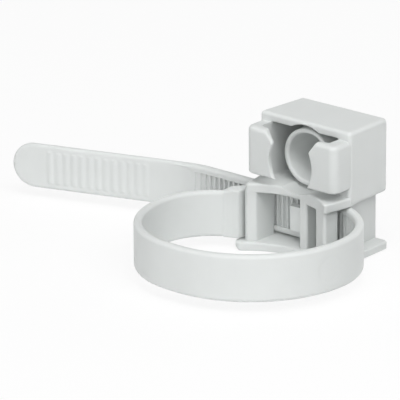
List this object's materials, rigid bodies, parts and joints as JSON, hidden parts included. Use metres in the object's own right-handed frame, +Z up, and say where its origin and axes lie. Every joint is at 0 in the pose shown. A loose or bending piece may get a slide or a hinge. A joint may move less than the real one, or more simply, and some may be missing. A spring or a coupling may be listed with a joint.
{
  "type": "cable tie with mount base",
  "caption": "One-piece moulded cable tie: a saw-toothed strap loops through a ratchet head, under an open box with a screw socket and side jaws that fixes it to a wall.",
  "frame": {"origin": "axis of the screw hole and socket, in the plane of the wall", "axes": "+X along the wall with the strap's tail towards -X, +Y into the wall, +Z up the wall along the axis of the loop"},
  "size_m": [0.0823, 0.0452, 0.0251],
  "materials": {
    "nylon": "satin"
  },
  "bodies": {
    "root": {"mounting_collar": "nylon"}
  },
  "joints": []
}
